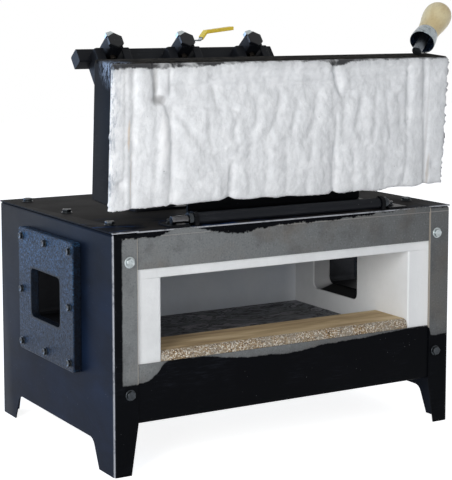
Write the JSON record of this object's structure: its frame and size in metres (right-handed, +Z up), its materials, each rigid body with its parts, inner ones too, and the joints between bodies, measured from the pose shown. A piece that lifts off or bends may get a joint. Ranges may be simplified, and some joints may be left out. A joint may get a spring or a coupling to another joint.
{
  "type": "gas forge",
  "caption": "Box-shaped gas forge with sheet steel case, fibre lining, side bar ports, burners on a gas rail and a flip-up insulated door with a wooden handle.",
  "frame": {"origin": "centre of the bounding box at the floor, under the feet", "axes": "+Z up, the mouth and door face -Y, +X to the right of someone who faces the mouth, and the gas inlet faces +Y"},
  "size_m": [0.6742, 0.4844, 0.6884],
  "materials": {
    "black_paint": "satin black paint",
    "hammered_paint": "hammered blue-black paint",
    "bare_steel": "bare steel",
    "zinc_plate": "zinc plated",
    "brass": "turned brass",
    "ceramic_fibre": "soft white ceramic fibre",
    "sooty_hearth": "sooty refractory",
    "tan_refractory": "rough cast tan refractory",
    "birch": "turned pale wood",
    "yellow_vinyl": "dipped yellow vinyl",
    "white_plastic": "white low-friction plastic"
  },
  "bodies": {
    "frame_body": {"left_side_panel": "black_paint", "right_side_panel": "black_paint", "front_panel": "black_paint", "rear_panel": "black_paint", "roof_cover": "black_paint", "floor_pan": "black_paint", "floor_lining": "ceramic_fibre", "hearth_plate": "sooty_hearth", "front_sill": "tan_refractory", "left_wall_lining": "ceramic_fibre", "right_wall_lining": "ceramic_fibre", "rear_lining": "ceramic_fibre", "ceiling_lining": "ceramic_fibre", "left_port_plate": "hammered_paint", "right_port_plate": "hammered_paint", "left_port_sleeve": "bare_steel", "right_port_sleeve": "bare_steel", "burner_tube_1": "black_paint", "burner_tube_2": "black_paint", "burner_tube_3": "black_paint", "burner_collar_1": "black_paint", "burner_collar_2": "black_paint", "burner_collar_3": "black_paint", "manifold_tube": "black_paint", "jet_block_1": "black_paint", "jet_block_2": "black_paint", "jet_block_3": "black_paint", "block_cap_1": "black_paint", "block_cap_2": "black_paint", "block_cap_3": "black_paint", "block_plug_1": "zinc_plate", "block_plug_2": "zinc_plate", "block_plug_3": "zinc_plate", "jet_1": "brass", "jet_2": "brass", "jet_3": "brass", "inlet_nipple": "zinc_plate", "valve_body": "brass", "front_valve_seat": "white_plastic", "rear_valve_seat": "white_plastic", "packing_nut": "brass", "inlet_fitting": "brass", "left_hinge_bracket": "black_paint", "right_hinge_bracket": "black_paint", "left_hinge_collar": "zinc_plate", "right_hinge_collar": "zinc_plate", "hinge_rod": "bare_steel"},
    "door": {"door_shell": "black_paint", "door_blanket": "ceramic_fibre", "hinge_pipe": "black_paint", "hinge_leaf": "black_paint", "handle_rod": "bare_steel", "handle_ferrule": "zinc_plate", "handle_grip": "birch"},
    "valve_lever": {"valve_ball": "bare_steel", "valve_stem": "brass", "valve_lever": "bare_steel", "lever_sleeve": "yellow_vinyl", "lever_nut": "bare_steel"}
  },
  "joints": [
    {"name": "door_hinge", "type": "hinge", "parent": "frame_body", "child": "door", "pos_m": [-0.01782, -0.23073, 0.37], "axis": [1, 0, 0], "range_deg": [0, 176]},
    {"name": "valve_turn", "type": "hinge", "parent": "frame_body", "child": "valve_lever", "pos_m": [0.04418, 0.19623, 0.5935], "axis": [0, 0, 1], "range_deg": [0, 90]}
  ]
}
